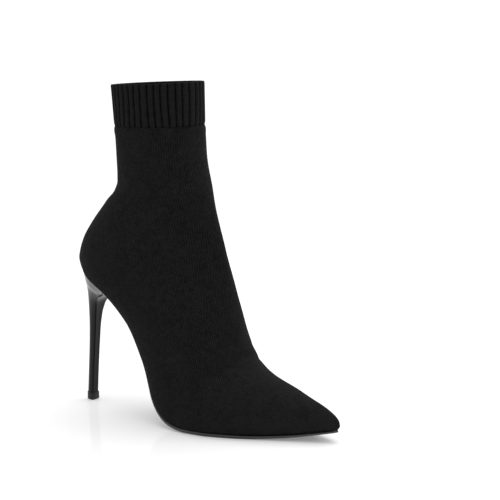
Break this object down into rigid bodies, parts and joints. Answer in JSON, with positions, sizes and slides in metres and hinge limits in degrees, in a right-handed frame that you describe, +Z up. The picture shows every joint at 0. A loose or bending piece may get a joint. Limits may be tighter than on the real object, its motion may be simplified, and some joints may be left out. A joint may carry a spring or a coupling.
{
  "type": "ankle boot",
  "caption": "Right knitted sock boot with a ribbed folded cuff, pointed toe and tall slender heel, hollow from the collar to the toe and standing on its sole",
  "frame": {"origin": "Centre of the boot's box in x and y, on the floor plane that the forefoot and the heel's top piece stand on", "axes": "+X to the toe, +Y to the inner side of the foot, +Z up"},
  "size_m": [0.239, 0.084, 0.2634],
  "materials": {
    "upper_knit": "matte fine knit",
    "cuff_rib": "matte ribbed knit",
    "insole_lining": "smooth lining",
    "outsole_gloss": "glossy",
    "heel_gloss": "high gloss",
    "top_piece": "satin"
  },
  "bodies": {
    "root": {"upper": "upper_knit", "rib_cuff": "cuff_rib", "insole": "insole_lining", "outsole": "outsole_gloss", "heel": "heel_gloss", "heel_top_piece": "top_piece"}
  },
  "joints": []
}
